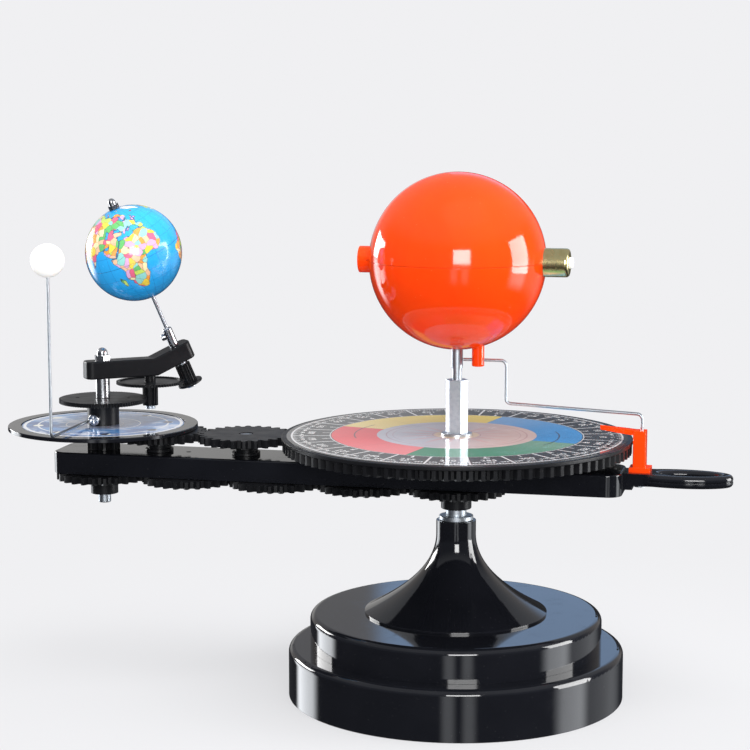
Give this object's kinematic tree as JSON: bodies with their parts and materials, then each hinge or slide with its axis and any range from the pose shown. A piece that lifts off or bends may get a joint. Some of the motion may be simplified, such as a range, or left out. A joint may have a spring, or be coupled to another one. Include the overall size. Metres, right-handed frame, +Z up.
{
  "type": "orrery",
  "caption": "Hand-turned tellurion: a geared arm with a handle carries a tilted globe and a Moon ball round a large orange Sun on a flared black stand.",
  "frame": {"origin": "centre of the base's resting face, on the axis of the column", "axes": "+Z up the column, +X along the arm towards the handle, so the Earth end is at -X"},
  "size_m": [0.4668, 0.2194, 0.3296],
  "materials": {
    "black_gloss": "gloss",
    "black_satin": "satin",
    "sun_orange": "gloss",
    "post_orange": "gloss",
    "zinc_steel": "satin",
    "chrome": "polished",
    "brass": "polished",
    "ballast_iron": "rough",
    "dial_print": "gloss",
    "moon_print": "gloss",
    "globe_print": "gloss",
    "moon_white": "satin",
    "lens_clear": "clear",
    "lamp_white": "gloss",
    "cell_wrap": "satin",
    "button_white": "gloss"
  },
  "bodies": {
    "stand": {"base_lower_tier": "black_gloss", "base_upper_tier": "black_gloss", "base_bottom_plate": "black_gloss", "base_weight": "ballast_iron", "stem": "black_gloss", "stem_nut": "zinc_steel", "stem_washer": "zinc_steel", "central_shaft": "zinc_steel", "fixed_lower_gear": "black_satin", "season_dial": "black_satin", "season_dial_sheet": "dial_print", "dial_washer": "zinc_steel", "hex_standoff": "zinc_steel", "sun_post": "zinc_steel"},
    "arm": {"arm_beam": "black_gloss", "arm_floor_plate": "black_gloss", "arm_bush": "brass", "handle": "black_gloss", "lower_gear_axles": "zinc_steel", "upper_gear_axles": "zinc_steel", "pointer_post": "post_orange", "pointer_screw": "zinc_steel", "sun_link_wire": "zinc_steel"},
    "sun_head": {"sun_upper_shell": "sun_orange", "sun_lower_shell": "sun_orange", "sun_sleeve": "zinc_steel", "torch_tube": "brass", "torch_lens": "lens_clear", "torch_lamp": "lamp_white", "torch_batteries": "cell_wrap"},
    "torch_switch": {"torch_button": "button_white"},
    "lower_idler_1": {"lower_gear_1": "black_satin"},
    "lower_idler_2": {"lower_gear_2": "black_satin"},
    "lower_idler_3": {"lower_gear_3": "black_satin"},
    "upper_idler_a": {"upper_gear_a": "black_satin"},
    "upper_idler_b": {"upper_gear_b": "black_satin"},
    "earth_carrier": {"parallel_gear": "black_satin", "earth_column_shaft": "zinc_steel", "column_spacer": "chrome", "earth_bracket": "black_satin", "bracket_bush": "zinc_steel", "acorn_nut": "chrome", "transfer_axle": "zinc_steel"},
    "moon_carrier": {"moon_pinion": "black_satin", "moon_disc": "black_gloss", "moon_disc_sheet": "moon_print", "moon_hub": "black_satin", "moon_hub_screw": "chrome", "earth_drive_gear": "black_satin", "moon_wire": "zinc_steel", "moon_ball": "moon_white"},
    "transfer": {"transfer_gear": "black_satin"},
    "earth": {"earth_pinion": "black_satin", "spin_shaft": "zinc_steel", "earth_coupling": "chrome", "coupling_screw": "chrome", "earth_rod": "zinc_steel", "globe_north": "globe_print", "globe_south": "globe_print", "pole_nut": "chrome"}
  },
  "joints": [
    {"name": "arm_turn", "type": "hinge", "parent": "stand", "child": "arm", "pos_m": [0, 0, 0.1406], "axis": [0, 0, 1], "continuous": true},
    {"name": "sun_turn", "type": "hinge", "parent": "stand", "child": "sun_head", "pos_m": [0, 0, 0.22], "axis": [0, 0, 1], "continuous": true},
    {"name": "torch_press", "type": "slide", "parent": "sun_head", "child": "torch_switch", "axis": [-1, 0, 0], "range_m": [0, 0.001], "stiffness_N_per_m": 400, "springref_m": -0.001},
    {"name": "lower_idler_1_spin", "type": "hinge", "parent": "arm", "child": "lower_idler_1", "pos_m": [-0.0585, 0, 0.131], "axis": [0, 0, 1], "continuous": true},
    {"name": "lower_idler_2_spin", "type": "hinge", "parent": "arm", "child": "lower_idler_2", "pos_m": [-0.117, 0, 0.131], "axis": [0, 0, 1], "continuous": true},
    {"name": "lower_idler_3_spin", "type": "hinge", "parent": "arm", "child": "lower_idler_3", "pos_m": [-0.1755, 0, 0.131], "axis": [0, 0, 1], "continuous": true},
    {"name": "earth_carrier_turn", "type": "hinge", "parent": "arm", "child": "earth_carrier", "pos_m": [-0.234, 0, 0.1406], "axis": [0, 0, 1], "continuous": true},
    {"name": "upper_idler_a_spin", "type": "hinge", "parent": "arm", "child": "upper_idler_a", "pos_m": [-0.13725, 0, 0.158], "axis": [0, 0, 1], "continuous": true},
    {"name": "upper_idler_b_spin", "type": "hinge", "parent": "arm", "child": "upper_idler_b", "pos_m": [-0.19575, 0, 0.158], "axis": [0, 0, 1], "continuous": true},
    {"name": "moon_carrier_turn", "type": "hinge", "parent": "arm", "child": "moon_carrier", "pos_m": [-0.234, 0, 0.158], "axis": [0, 0, 1], "continuous": true},
    {"name": "transfer_spin", "type": "hinge", "parent": "earth_carrier", "child": "transfer", "pos_m": [-0.2087, 0.02048, 0.18], "axis": [0, 0, 1], "continuous": true},
    {"name": "earth_spin", "type": "hinge", "parent": "earth_carrier", "child": "earth", "pos_m": [-0.18763, 0.03755, 0.1894], "axis": [-0.3099, -0.2509, 0.9171], "continuous": true}
  ],
  "couplings": [
    {"joint": "sun_turn", "follows": "arm_turn", "ratio": 1},
    {"joint": "lower_idler_1_spin", "follows": "arm_turn", "ratio": 1},
    {"joint": "lower_idler_2_spin", "follows": "arm_turn", "ratio": -1},
    {"joint": "lower_idler_3_spin", "follows": "arm_turn", "ratio": 1},
    {"joint": "earth_carrier_turn", "follows": "arm_turn", "ratio": -1},
    {"joint": "upper_idler_a_spin", "follows": "arm_turn", "ratio": 3.6923},
    {"joint": "upper_idler_b_spin", "follows": "arm_turn", "ratio": -3.6923},
    {"joint": "moon_carrier_turn", "follows": "arm_turn", "ratio": 12},
    {"joint": "transfer_spin", "follows": "arm_turn", "ratio": -78},
    {"joint": "earth_spin", "follows": "arm_turn", "ratio": 364}
  ]
}
